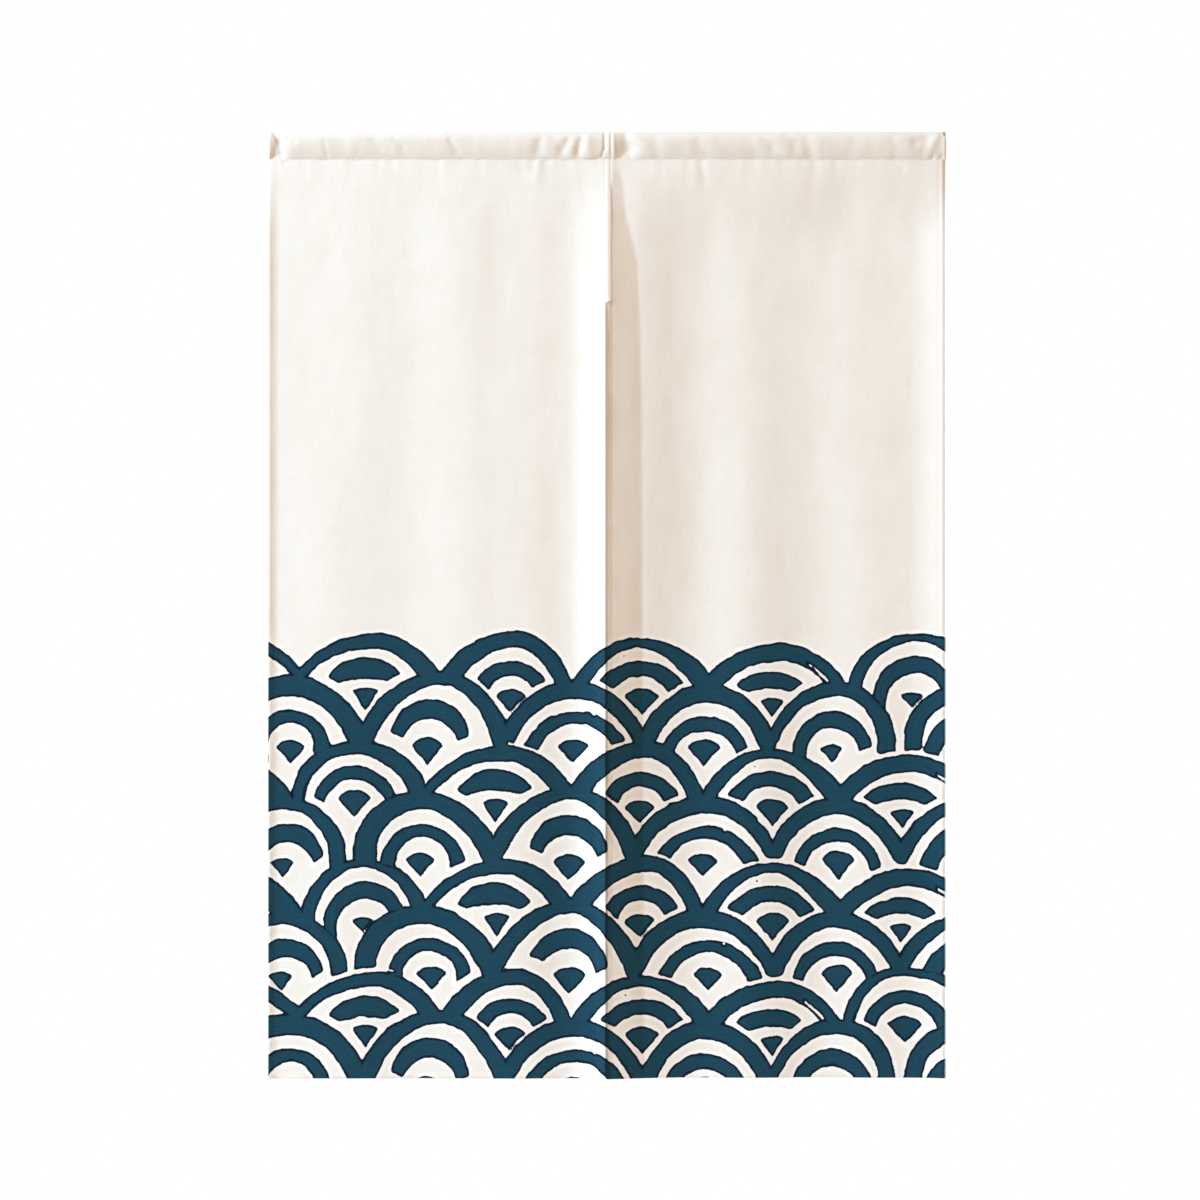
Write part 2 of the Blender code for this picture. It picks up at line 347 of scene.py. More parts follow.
def cloth_noise(across, down, size, seed):
    """Smooth noise from -1 to 1 over the cloth, its bumps about this size (across, down)."""
    lattice = np.random.default_rng(seed).uniform(-1.0, 1.0, (128, 128))
    u, v = np.asarray(across) / size[0] + 64.0, np.asarray(down) / size[1] + 64.0
    i, j = np.floor(u).astype(int), np.floor(v).astype(int)
    fu, fv = smooth(u - i), smooth(v - j)
    i, j = i % 128, j % 128
    i1, j1 = (i + 1) % 128, (j + 1) % 128
    near = lattice[i, j] * (1 - fu) + lattice[i1, j] * fu
    far = lattice[i, j1] * (1 - fu) + lattice[i1, j1] * fu
    return near * (1 - fv) + far * fv


def ripple(kind, across, down, seed):
    return kind.rise * cloth_noise(across, down, (kind.across, kind.down), seed)


def roll_rise(roll, distance):
    return roll.rise * hump(distance - roll.place, roll.reach)


def opened(drop, above=0.0015):
    """0 above the slit and 1 along it, with a short curve that begins this far above it."""
    return smooth((drop - SLIT_START + above) / SLIT_CORNER)


def inner_edge(side, drop):
    """X of a panel's inner edge, with the lap ending in a short curve at the slit."""
    lapped = LAP if side < 0 else LAP + GAP
    free = -FREE_EDGE if side < 0 else -TUCKED
    return lapped + (free - lapped) * opened(drop, above=0.0012)


def forward(side, x, drop):
    """How far the folds of a panel's front stand forward at this place."""
    share = (drop - SLEEVE_HEIGHT) / (DROP - SLEEVE_HEIGHT)
    rise = np.zeros_like(x)
    for fold in LEFT_FOLDS if side < 0 else RIGHT_FOLDS:
        amount = fold.top + (fold.foot - fold.top) * share
        rise += amount * hump(x - fold.place - fold.lean * share, fold.reach)
    curl = OUTER_CURL[side]
    rise += curl.rise * np.maximum(0.0, 1.0 - (WIDTH / 2 - np.abs(x)) / curl.reach) ** 2
    rise += between(SLOPES[side], "rise", x)
    rise *= smooth((drop - SLEEVE_HEIGHT) / FOLD_RAMP)
    distance = np.maximum(0.0, side * x)
    if side < 0:
        slope = np.maximum(0.0, 1.0 - distance / LEFT_CURL_REACH) ** LEFT_CURL_POWER
        return rise + between(RIDGE, "left", drop) * slope
    slope = np.maximum(0.0, 1.0 - distance / between(RIDGE, "reach", drop)) ** RIGHT_CURL_POWER
    return rise + between(RIDGE, "right", drop) * slope


def crease_depth(cuts, x, drop):
    """How far the creases cut in at each place."""
    total = np.zeros_like(x)
    for c in cuts:
        run, fall = c.x1 - c.x0, c.drop1 - c.drop0
        t = ((x - c.x0) * run + (drop - c.drop0) * fall) / (run * run + fall * fall)
        t = np.clip(t, 0.0, 1.0)
        away = np.hypot(x - c.x0 - t * run, drop - c.drop0 - t * fall)
        total += c.depth * hump(away, c.reach0 + (c.reach1 - c.reach0) * t)
    return total


def wrinkles(side, distance, x, drop):
    """Small unevenness that the solids don't have: soft waves, and ripples by each sewn line."""
    seed = PANEL_SEED[side]
    below = drop - SLEEVE_HEIGHT
    rise = ripple(SOFT_WAVES, x, drop, seed) * smooth(below / SOFT_WAVES.reach)
    rise += ripple(FINE_WAVES, x, drop, seed + 1) * smooth(below / FINE_WAVES.reach)
    rise += ripple(BELOW_HEADING, x, drop, seed + 2) * np.exp(-below / BELOW_HEADING.reach)
    slit = smooth((drop - SLIT_START) / 0.05)
    rise *= 1.0 - (1.0 - slit) * hump(distance, SEAM_REACH)
    by_slit = np.exp(-distance / BY_SLIT.reach) * (SEAM_SHARE + (1.0 - SEAM_SHARE) * slit)
    by_slit *= smooth(below / 0.03)
    rise += ripple(BY_SLIT, 0.0 * x, drop, SLIT_SEED) * by_slit
    outer = np.exp(-(WIDTH / 2 - distance) / BY_OUTER_EDGE.reach) * smooth(below / 0.02)
    rise += ripple(BY_OUTER_EDGE, x, drop, seed + 4) * outer
    foot = np.exp(-(DROP - drop) / BY_FOOT.reach)
    return rise + ripple(BY_FOOT, x, drop, seed + 5) * foot


def free_edge(side, distance, drop):
    """How far the inner edges turn forward and back along the slit, the right behind the left."""
    if side < 0:
        return LIP_RISE * (1.0 - smooth(distance / LIP_WIDTH)) * opened(drop)
    return -TUCK_DEPTH * (1.0 - smooth((distance - TUCK_FLAT) / TUCK_WIDTH)) * opened(drop)


def sewn_relief(side, distance, drop):
    """How far the hems, the seam and the rolled edges stand forward on the front of a panel."""
    outer, foot = WIDTH / 2 - distance, DROP - drop
    unseamed = opened(drop)
    rise = -STITCH_DENT * hump(outer - HEM_STITCH, STITCH_REACH) * OUTER_DENT[side]
    rise -= STITCH_DENT * hump(foot - HEM_STITCH, STITCH_REACH)
    rise -= STITCH_DENT * hump(distance - HEM_STITCH, STITCH_REACH) * unseamed
    for away, fall in ((outer, OUTER_FALL[side]), (foot, FOOT_FALL)):
        rise -= fall.depth * (1.0 - smooth(away / fall.width))
    if side > 0:
        return rise + roll_rise(SLIT_ROLL, distance) * unseamed
    lap = LAP_RISE * smooth((LAP_WIDTH - distance) / LAP_STEP + 0.5)
    lap -= LAP_DENT * hump(distance - LAP_WIDTH, STITCH_REACH)
    lap -= LAP_EDGE_DENT * hump(distance - LAP_EDGE_STITCH, LAP_EDGE_REACH)
    lap -= LAP_EDGE_FALL * (1.0 - smooth(distance / FOOT_FALL.width))
    free = -LAP_EDGE_FALL * (1.0 - smooth(distance / ROUNDING))
    return rise + lap * (1.0 - unseamed) + free * unseamed


def panel_layers(side, distance, drop):
    """(x, y of the front, y of the back, z) of a panel's fine cloth."""
    edge = inner_edge(side, drop)
    x = side * distance + edge * (1.0 - smooth(distance / EDGE_ZONE))
    cuts = LEFT_PANEL_CREASES if side < 0 else RIGHT_PANEL_CREASES
    base = CLOTH + forward(side, x, drop) + wrinkles(side, distance, x, drop)
    base = base + free_edge(side, distance, drop) - crease_depth(cuts, x, drop)
    front = base + sewn_relief(side, distance, drop)
    from_edge = np.minimum(np.minimum(distance, WIDTH / 2 - distance), DROP - drop)
    turned = 1.0 - smooth((from_edge - HEM_WIDTH) / (HEM_SLOPE * 0.5))
    dent = STITCH_DENT * hump(from_edge - HEM_STITCH, STITCH_REACH)
    back = base - SHEET - TURNED * turned + dent
    rolled = ROUNDED_SHARE * TURNED * (1.0 - smooth(from_edge / ROUNDING))
    return x, -front + rolled, -back - rolled, -drop


def closed_grid(front, back, rows, columns):
    """Vertices and faces of a sheet: a fine front grid, and a back one of some of its lines."""
    high, wide = front.shape[:2]
    points = np.concatenate([front.reshape(-1, 3), back.reshape(-1, 3)])
    near = np.arange(high * wide).reshape(high, wide)
    far = high * wide + np.arange(len(rows) * len(columns)).reshape(len(rows), len(columns))
    fronts = np.stack([near[:-1, :-1], near[1:, :-1], near[1:, 1:], near[:-1, 1:]], -1)
    backs = np.stack([far[:-1, :-1], far[:-1, 1:], far[1:, 1:], far[1:, :-1]], -1)
    faces = fronts.reshape(-1, 4).tolist() + backs.reshape(-1, 4).tolist()
    sides = (
        (near[0], far[0], columns, 1),
        (near[-1], far[-1], columns, -1),
        (near[:, 0], far[:, 0], rows, -1),
        (near[:, -1], far[:, -1], rows, 1),
    )
    for edge, far_edge, steps, turn in sides:
        for k in range(len(steps) - 1):
            face = edge[steps[k] : steps[k + 1] + 1].tolist() + [far_edge[k + 1], far_edge[k]]
            faces.append([int(v) for v in face][::turn])
    return points, faces


def thinned(count, step):
    """Every step-th index of a grid's side, with both ends."""
    picked = list(range(0, count - 1, step))
    return picked + [count - 1]


def add_object(name, points, faces, material):
    mesh = bpy.data.meshes.new(name)
    mesh.from_pydata(points.tolist(), [], faces)
    mesh.update()
    mesh.shade_smooth()
    mesh.set_sharp_from_angle(angle=SHARP_ANGLE)
    mesh.materials.append(material)
    obj = bpy.data.objects.new(name, mesh)
    bpy.context.scene.collection.objects.link(obj)
    return obj


def set_values(obj, name, values, kind="FLOAT", field="value"):
    attribute = obj.data.attributes.new(name, kind, "POINT")
    attribute.data.foreach_set(field, np.ascontiguousarray(values, np.float32).ravel())


# The wave print, in millimetres across and down. Rows of scales are laid from the back one to the
# front one. A scale is a dome between two valleys: a band of ink round it, a curved shape inside,
# and a wedge at its heart whose sides follow the domes in front.
#
# A brush is one way to paint a scale: the band's width at the left, the crown and the right; how
# far the crown leans and rises; the bare gap under the band; the inner shape's thickness and the
# radii of its two curves; the room left to the domes in front at its two ends, below zero where it
# runs into them; and the wedge's tip below the crown, its height, half its width and how far its
# top bulges. Last come how far the inner shape and the wedge are moved across.
Brush = namedtuple(
    "Brush",
    "left crown right lean rise gap thick radius bore "
    "room_left room_right tip high half sag shift aside",
)
BRUSHES = {
    "plain": Brush(23, 22, 21, -2, -5, 17, 18, 56, 41, 4, 5, 103, 35, 21, 0.30, 0, 0),
    "linked": Brush(23, 22, 21, -2, -5, 17, 18, 56, 41, 4, -4, 103, 35, 21, 0.30, -4, -5),
    "joined": Brush(23, 24, 24, 0, -6, 17, 20, 57, 41, -4, 4, 105, 35, 21, 0.30, 0, 0),
    "side": Brush(24, 22, 18, 0, -5, 15, 25, 62, 40, 4, 4, 104, 30, 18, 0.30, 0, 0),
    "full": Brush(24, 22, 40, 0, -5, 15, 25, 62, 40, 4, 4, 104, 30, 18, 0.30, 0, 0),
    "edge": Brush(24, 22, 14, 0, 4, 13, 25, 62, 40, 4, -4, 104, 30, 18, 0.30, 0, 0),
    "broad": Brush(20, 15, 18, 0, -5, 13, 25, 76, 52, 4, 4, 104, 30, 18, 0.30, 5, 0),
    "merged": Brush(20, 15, 18, 0, -5, 13, 25, 76, 52, -4, 4, 104, 30, 18, 0.30, 0, 0),
    "lens": Brush(15, 20, 27, 8, 2, 10, 28, 58, 110, 10, 10, 98, 30, 17, 0.15, -5, 0),
    "notch": Brush(27, 21, 23, 12, 6, 17, 19, 52, 30, 4, 5, 104, 30, 20, 0.32, 0, 2.5),
    "speck": Brush(21, 13, 28, -3, -3, 16, 20, 66, 40, 5, 5, 99, 35, 22, 0.30, 0, 1),
    "dry": Brush(24, 23, 22, 0, -10, 13, 22, 66, 66, 6, 8, 95, 25, 15, 0.15, -5, -1),
    "hooked": Brush(19, 10, 22, 0, 2, 18, 23, 52, 36, -4, -4, 94, 20, 14, 0.20, 10, 11),
    "free": Brush(18, 11, 15, -12, 7, 18, 18, 57, 39, 5, -4, 98, 36, 23, 0.30, 6, 6),
    "round": Brush(24, 28, 27, 0, 5, 17, 17, 50, 29, 4, -4, 113, 30, 19, 0.30, 0, 0),
    "thick": Brush(24, 17, 25, 8, 9, 18, 26, 50, 35, 17, 17, 119, 35, 21, 0.30, -4, -3),
    "wide": Brush(22, 24, 20, 0, -2, 15, 16, 72, 50, 3, 4, 104, 30, 20, 0.30, 3, 0.5),
    "tall": Brush(16, 20, 23, 2, -4, 18, 22, 51, 33, -4, 17, 104, 23, 15, 0.20, -8, -10),
    "near": Brush(19, 17, 25, -4, 7, 14, 18, 54, 40, 8, -3, 96, 34, 21, 0.30, 3, 4),
    "deep": Brush(22, 15, 23, 0, -5, 18, 24, 48, 34, 17, 15, 101, 25, 16, 0.20, -6, -18),
    "arm": Brush(31, 24, 28, 0, 4, 18, 17, 54, 33, -4, 9, 108, 30, 19, 0.30, -2, -5),
}

# Brushes that round their domes off, and those whose left limb narrows to its foot
ROUND = ("hooked", "free", "near")
NARROWING = ("free", "near")
NARROWED_BY = 6.5
NARROWS_FROM = 0.70
NARROWS_OVER = 0.28

# Valleys between the scales of a row: where, how far below the row, and half the gap if it is open
Valley = namedtuple("Valley", "x depth gap", defaults=(0,))
VALLEYS_A = table(
    Valley, (-565, 48), (-389, 41), (-211, 48), (-45, 57), (129, 48), (304, 64), (476, 50)
)
VALLEYS_B = table(
    Valley, (-489, 56), (-309, 56), (-128, 54), (44, 62), (207, 62), (369, 60, 5), (540, 60)
)
VALLEYS_C = table(
    Valley, (-577, 55), (-399, 60), (-229, 48), (-45, 48), (121, 56), (295, 49), (464, 50)
)
VALLEYS_D = table(
    Valley, (-495, 55), (-324, 60, 4), (-144, 52), (36, 52), (209, 58), (371, 58), (546, 55)
)
VALLEYS_E = VALLEYS_C[:1] + (Valley(-386, 60),) + VALLEYS_C[2:]
VALLEYS_F = VALLEYS_A[:5] + (Valley(297, 64),) + VALLEYS_A[6:]

# The rows: how far down, their valleys, the brush of each scale, and the valleys whose foot of ink
# stands clear of the row in front
Wave = namedtuple("Wave", "drop valleys brushes clear")
WAVES = (
    Wave(635, VALLEYS_A, "edge lens notch speck dry hooked".split(), ()),
    Wave(690, VALLEYS_B, "round thick wide joined tall side".split(), (5,)),
    Wave(776, VALLEYS_C, "full near lens notch speck dry".split(), ()),
    Wave(836, VALLEYS_D, "deep arm thick wide plain broad".split(), (4, 5)),
    Wave(920, VALLEYS_E, "full hooked lens notch speck dry".split(), ()),
    Wave(980, VALLEYS_D, "deep arm thick wide linked merged".split(), (1, 4)),
    Wave(1062, VALLEYS_F, "side lens notch speck dry free".split(), ()),
    Wave(1117, VALLEYS_B, "round thick wide joined tall side".split(), (5,)),
    Wave(1203, VALLEYS_C, "side near lens notch speck dry".split(), ()),
)
DOME_HEIGHT = 150.0
OPEN_HEIGHT = 75.0
CORNER = 3.0
WEDGE_CORNER = 2.5
FOOT_CORNER = 6.0
FOOT_ROOM = 5.0
WEDGE_ROOM = 2.5
SPREAD = 1.15
FAR_OUTSIDE = -60.0

# Marks of single brushes: bare streaks in the ink along a band, and spots
Streak = namedtuple("Streak", "along half depth thick")
DRY_STREAK = Streak(along=50.0, half=13.0, depth=17.5, thick=1.5)
BACK_STREAK = Streak(along=14.0, half=11.0, depth=-3.2, thick=1.6)
Spot = namedtuple("Spot", "across down radius")
NICK = Spot(across=26.0, down=43.5, radius=2.2)
SPECK = Spot(across=-17.0, down=21.0, radius=1.8)
SPECK_FLATNESS = 1.6

# How the outlines sway and how rough they are, and how far the ink has spread
Wobble = namedtuple("Wobble", "amount size")
SWAY = (Wobble(1.3, 48), Wobble(0.8, 13))
ROUGH = (Wobble(0.55, 6.5), Wobble(0.5, 9.0))
INK_SPREAD = 0.15


def both(first, second, corner=CORNER):
    """Distance into the overlap of two shapes, with its corners rounded."""
    rounded = np.hypot(np.maximum(corner - first, 0.0), np.maximum(corner - second, 0.0))
    return np.maximum(corner, np.minimum(first, second)) - rounded


def dome_depth(wave, index, x, y):
    """Distance into one dome of a row, from its edge."""
    name = wave.brushes[index]
    brush = BRUSHES[name]
    ends = wave.valleys[index : index + 2]
    apex = (ends[0].x + ends[1].x) / 2 + brush.lean
    crown = wave.drop - brush.rise
    depths = []
    for end in ends:
        height = OPEN_HEIGHT if end.gap or name in ROUND else DOME_HEIGHT
        fall = height - (wave.drop + end.depth - crown)
        axis = abs(end.x - apex) - end.gap
        if not end.gap:
            axis /= math.sqrt(1.0 - (fall / height) ** 2)
        dx, dy = (x - apex) / axis, np.minimum(y - crown - height, 0.0) / height
        reach = np.hypot(dx, dy)
        depths.append((1.0 - reach) * reach / np.maximum(np.hypot(dx / axis, dy / height), 1e-6))
    return np.where(x < apex, depths[0], depths[1]), apex, crown


def row_depth(wave, x, y):
    """Depth into the frontmost dome of a row at each place, and which dome that is."""
    depths = np.stack([dome_depth(wave, i, x, y)[0] for i in range(len(wave.valleys) - 1)])
    return depths.max(axis=0), depths.argmax(axis=0)


def inner_shape(brush, dx, dy, room, apart):
    """Distance into the arch or lens inside a scale, from the top of its curve."""
    outer = brush.radius - np.hypot(dx, np.minimum(dy - brush.radius, 0.0))
    low = dy - brush.thick - brush.bore
    inner = np.hypot(dx, np.minimum(low, 0.0)) - brush.bore
    return both(both(outer, inner), room - apart)


def wedge(brush, dx, dy):
    """Distance into the wedge, from its tip."""
    bulge = brush.sag * brush.high
    slope = math.atan2(brush.half, brush.high - bulge)
    side = np.sin(np.clip(slope - np.arctan2(np.abs(dx), -dy), -1.57, 1.57)) * np.hypot(dx, dy)
    radius = (brush.half**2 + bulge**2) / (2 * bulge)
    return both(side, radius - np.hypot(dx, dy + brush.high - radius), WEDGE_CORNER)


def streak_depth(streak, dx, depth):
    """Distance into a streak that runs along a band of ink."""
    thick = streak.thick - np.abs(depth - streak.depth)
    return both(thick, streak.half - np.abs(dx - streak.along), 1.0)


def paint_scale(wave, index, heart, x, y, room, behind):
    """The ink of one scale over the ink behind it, and the run of its brush stroke."""
    name = wave.brushes[index]
    brush = BRUSHES[name]
    depth, apex, crown = dome_depth(wave, index, x, y)
    dx = x - apex
    half = np.where(dx < 0, apex - wave.valleys[index].x, wave.valleys[index + 1].x - apex)
    flank = np.where(dx < 0, brush.left, brush.right)
    width = brush.crown + (flank - brush.crown) * smooth(np.abs(dx) / half * SPREAD)
    if name in NARROWING:
        width = width - NARROWED_BY * smooth((-dx / half - NARROWS_FROM) / NARROWS_OVER)
    band = width - depth
    for side, valley in ((dx < 0, index), (dx >= 0, index + 1)):
        if valley in wave.clear:
            band = np.where(side, both(band, room - FOOT_ROOM, FOOT_CORNER), band)
    apart = np.where(x < heart, brush.room_left, brush.room_right)
    middle = (apex + heart) / 2 + brush.shift
    shape = inner_shape(brush, x - middle, y - crown - brush.crown - brush.gap, room, apart)
    core = wedge(brush, x - (apex + 3 * heart) / 4 - brush.aside, y - crown - brush.tip)
    if name != "hooked":
        core = np.minimum(core, room - WEDGE_ROOM)
    if name == "dry":
        band = np.minimum(band, -streak_depth(DRY_STREAK, dx, depth))
    if name == "wide":
        nick = np.hypot(dx - NICK.across, y - crown - NICK.down) - NICK.radius
        shape = np.minimum(shape, nick)
    if name == "speck":
        away = np.hypot(dx - SPECK.across, SPECK_FLATNESS * (depth - SPECK.down))
        shape = np.maximum(shape, SPECK.radius - away)
    ink = np.minimum(band, np.maximum(depth, behind))
    ink = np.maximum(np.maximum(ink, shape), core)
    if name == "lens":
        # A bare streak in the ink behind, close outside the band
        run = BACK_STREAK.half - np.abs(dx - BACK_STREAK.along)
        bare = both(BACK_STREAK.thick + 0.0 * dx, run, 1.0)
        behind = np.minimum(behind, np.abs(depth - BACK_STREAK.depth) - bare)
    stroke = np.stack([dx + 0.7 * depth, depth, 0 * dx], -1)
    return np.where(depth > 0, ink, np.maximum(behind, depth)), stroke


def wobbled(value, x, y, wobbles, seed):
    for k, wobble in enumerate(wobbles):
        value = value + wobble.amount * cloth_noise(x, y, (wobble.size, wobble.size), seed + k)
    return value


def nearest_heart(wave, index, front):
    """X of the valley in front that a scale's heart lies over."""
    middle = (wave.valleys[index].x + wave.valleys[index + 1].x) / 2
    return min((valley.x for valley in front.valleys), key=lambda place: abs(place - middle))


def print_fields(x, drop):
    """Distance into the ink in mm, below zero on plain cloth, and how far along and across the
    brush stroke a place lies."""
    x, y = x * 1000.0, drop * 1000.0
    x = wobbled(x, x, y, SWAY, SWAY_SEED)
    y = wobbled(y, x, y, SWAY, SWAY_SEED + len(SWAY))
    ink = np.full_like(x, FAR_OUTSIDE)
    stroke = np.zeros(x.shape + (3,))
    for wave, front in zip(WAVES, WAVES[1:]):
        depth, owner = row_depth(wave, x, y)
        room = -row_depth(front, x, y)[0]
        behind = ink.copy()
        for index in range(len(wave.valleys) - 1):
            mine = (owner == index) & (depth > FAR_OUTSIDE)
            if not mine.any():
                continue
            heart = nearest_heart(wave, index, front)
            places = x[mine], y[mine], room[mine], behind[mine]
            ink[mine], brushed = paint_scale(wave, index, heart, *places)
            stroke[mine] = np.where((depth[mine] > 0)[:, None], brushed, stroke[mine])
    rough = wobbled(0.0, x, y, ROUGH, ROUGH_SEED)
    return ink + rough + INK_SPREAD, stroke


def panel_lines():
    """Columns (distances from the inner edge) and rows (drops) of a panel's front grid."""
    near, far = EDGE_LINES
    columns, rows = [far], [SLEEVE_HEIGHT - GAP]
    for lines, stretches in ((columns, COLUMNS), (rows, ROWS)):
        for stretch in stretches:
            lines += spaced(lines[-1], stretch.end, stretch.step)[1:]
    columns = [0.0, near] + columns + [WIDTH / 2 - far, WIDTH / 2 - near, WIDTH / 2]
    return np.array(columns), np.array(rows + [DROP - far, DROP - near, DROP])


def add_panel(word, side, material):
    columns, rows = panel_lines()
    distance, drop = np.meshgrid(columns, rows)
    x, front, back, z = panel_layers(side, distance, drop)
    picked_rows, picked_columns = thinned(len(rows), 2), thinned(len(columns), 2)
    keep = np.ix_(picked_rows, picked_columns)
    near = np.stack([x, front, z + 0.0 * x], -1)
    far = np.stack([x[keep], back[keep], z[keep]], -1)
    points, faces = closed_grid(near, far, picked_rows, picked_columns)
    if side < 0:
        faces = [face[::-1] for face in faces]
    panel = add_object(f"panel_{word}_cloth", points, faces, material)
    flat_x = np.concatenate([x.ravel(), x[keep].ravel()])
    flat_drop = np.concatenate([drop.ravel(), drop[keep].ravel()])
    ink, stroke = print_fields(flat_x, flat_drop)
    set_values(panel, "ink", ink)
    set_values(panel, "stroke", stroke, "FLOAT_VECTOR", "vector")
    set_values(panel, "reverse", np.repeat([0.0, 1.0], [x.size, x[keep].size]))
    return panel


def half_depth(height, inset):
    """Half the depth at a height over the stitch line of the sleeve, or of a form inset from it."""
    rising = np.sin(math.pi / 2 * (np.clip(height / CREST_HEIGHT, 0, 1)) ** SWELL_POWER)
    low = STITCHED_HALF_DEPTH + (CREST_HALF_DEPTH - STITCHED_HALF_DEPTH) * rising - inset
    top = SLEEVE_HEIGHT - GAP - inset
    over = np.clip((height - CREST_HEIGHT) / (top - CREST_HEIGHT), 0.0, 1.0)
    high = (CREST_HALF_DEPTH - inset) * np.sqrt(1.0 - over * over)
    return np.where(height <= CREST_HEIGHT, low, high)


def sleeve_ends(side):
    """Distances of a sleeve's inner and outer end from the middle: the sleeves meet at the lap."""
    return (-LAP if side < 0 else LAP + GAP), WIDTH / 2


def sleeve_wall(side, x, height, inset, front):
    """How far a wall of the sleeve stands off its middle plane, or its inside with an inset."""
    inner, outer = sleeve_ends(side)
    from_end = np.minimum(side * x - inner, outer - side * x)
    squeeze = 1.0 - END_SQUEEZE * (1.0 - smooth(from_end / END_REACH))
    depth = half_depth(height, 0.0) * squeeze
    bulge = np.sin(math.pi * np.clip(height / CREST_HEIGHT, 0.0, 1.0))
    for pucker in PUCKERS[side]:
        dent = (pucker.front if front else pucker.back) * PUCKER_SHARE
        depth = depth - dent * bulge * hump(x - pucker.place, pucker.reach)
    swell = smooth(height / STITCHED_FLAT) * smooth((SLEEVE_HEIGHT - height) / TOP_FLAT)
    seed = SLEEVE_SEED[side] + (0 if front else BACK_SEED)
    down = SLEEVE_HEIGHT - height
    depth = depth + swell * ripple(ON_SLEEVE, x, down, seed)
    depth = depth + swell * ripple(FINE_ON_SLEEVE, x, down, seed + 1)
    if front:
        cuts = LEFT_SLEEVE_CREASES if side < 0 else RIGHT_SLEEVE_CREASES
        depth = depth - crease_depth(cuts, x, down) * np.minimum(1.0, depth / CREASED_DEPTH)
    depth = depth + roll_rise(END_ROLL, from_end) * swell
    depth = depth - END_FALL * (1.0 - smooth(from_end / ROUNDING))
    if inset is None:
        return np.maximum(depth, LEAST_DEPTH)
    thinner = np.where(
        height <= CREST_HEIGHT,
        depth - inset,
        depth * half_depth(height, inset) / np.maximum(half_depth(height, 0.0), 1e-5),
    )
    return np.maximum(thinner, GAP)


def gape(side, x, height):
    """How far the right sleeve's front wall falls short of its outer end high up, opening it."""
    if side < 0:
        return 0.0 * x
    at_end = smooth((x - WIDTH / 2 + GAPE_REACH) / GAPE_REACH)
    return GAPE * at_end * smooth((height - GAPE_START) / GAPE_RAMP)


def sleeve_grid(side, places, inset):
    """Rings of points round the sleeve, up the front wall, over the top and down the back."""
    wall = 0.0 if inset is None else inset
    floor = 0.0 if inset is None else STITCHED_FLOOR
    x = places[:, None] + 0.0 * SLEEVE_SHARES[None, :]
    top = SLEEVE_HEIGHT - GAP - np.broadcast_to(wall, (len(places), 1))
    height = floor + (top - floor) * SLEEVE_SHARES[None, :]
    rings = []
    for front in (True, False):
        depth = sleeve_wall(side, x, height, inset, front)
        depth[:, -1] = 0.0
        across = x - gape(side, x, height) if front else x
        y = -depth if front else depth
        ring = np.stack([across, y, height - SLEEVE_HEIGHT + GAP], -1)
        rings.append(ring if front else ring[:, -2::-1])
    return np.concatenate(rings, axis=1)


def add_sleeve(word, side, material):
    inner, outer = sleeve_ends(side)
    near, far = EDGE_LINES
    places = [inner, inner + near, inner + far]
    places += spaced(inner + SLEEVE_LAST, outer - SLEEVE_LAST, SLEEVE_STEP)
    places = side * np.array(places + [outer - far, outer - near, outer])
    from_end = np.minimum(side * places - inner, outer - side * places)[:, None]
    wall = SHEET + TURNED * (1.0 - smooth((from_end - HEM_WIDTH) / HEM_SLOPE))
    rings = [sleeve_grid(side, places, None), sleeve_grid(side, places, wall)]
    count, around = rings[0].shape[:2]
    points = np.concatenate([ring.reshape(-1, 3) for ring in rings])
    index = np.arange(2 * count * around).reshape(2, count, around)
    turned = np.roll(index, -1, axis=2)
    outside = np.stack([index[0, :-1], turned[0, :-1], turned[0, 1:], index[0, 1:]], -1)
    inside = np.stack([index[1, :-1], index[1, 1:], turned[1, 1:], turned[1, :-1]], -1)
    first = np.stack([index[0, 0], index[1, 0], turned[1, 0], turned[0, 0]], -1)
    last = np.stack([index[0, -1], turned[0, -1], turned[1, -1], index[1, -1]], -1)
    faces = np.concatenate([part.reshape(-1, 4) for part in (outside, inside, first, last)])
    if side < 0:
        faces = faces[:, ::-1]
    return add_object(f"sleeve_{word}_cloth", points, faces.tolist(), material)


# Stitching: each stitch is a short length of thread, thicker in the middle and sunk at its ends
STITCH_PITCH = 0.0034
STITCH_LENGTH = 0.0029
THREAD = 0.00026
STITCH_SIDES = 6
Ring = namedtuple("Ring", "place thick lift")
STITCH_RINGS = table(
    Ring,
    (-0.50, 0.30, -1.00),
    (-0.30, 0.92, 0.05),
    (0.00, 1.00, 0.35),
    (0.30, 0.92, 0.05),
    (0.50, 0.30, -1.00),
)


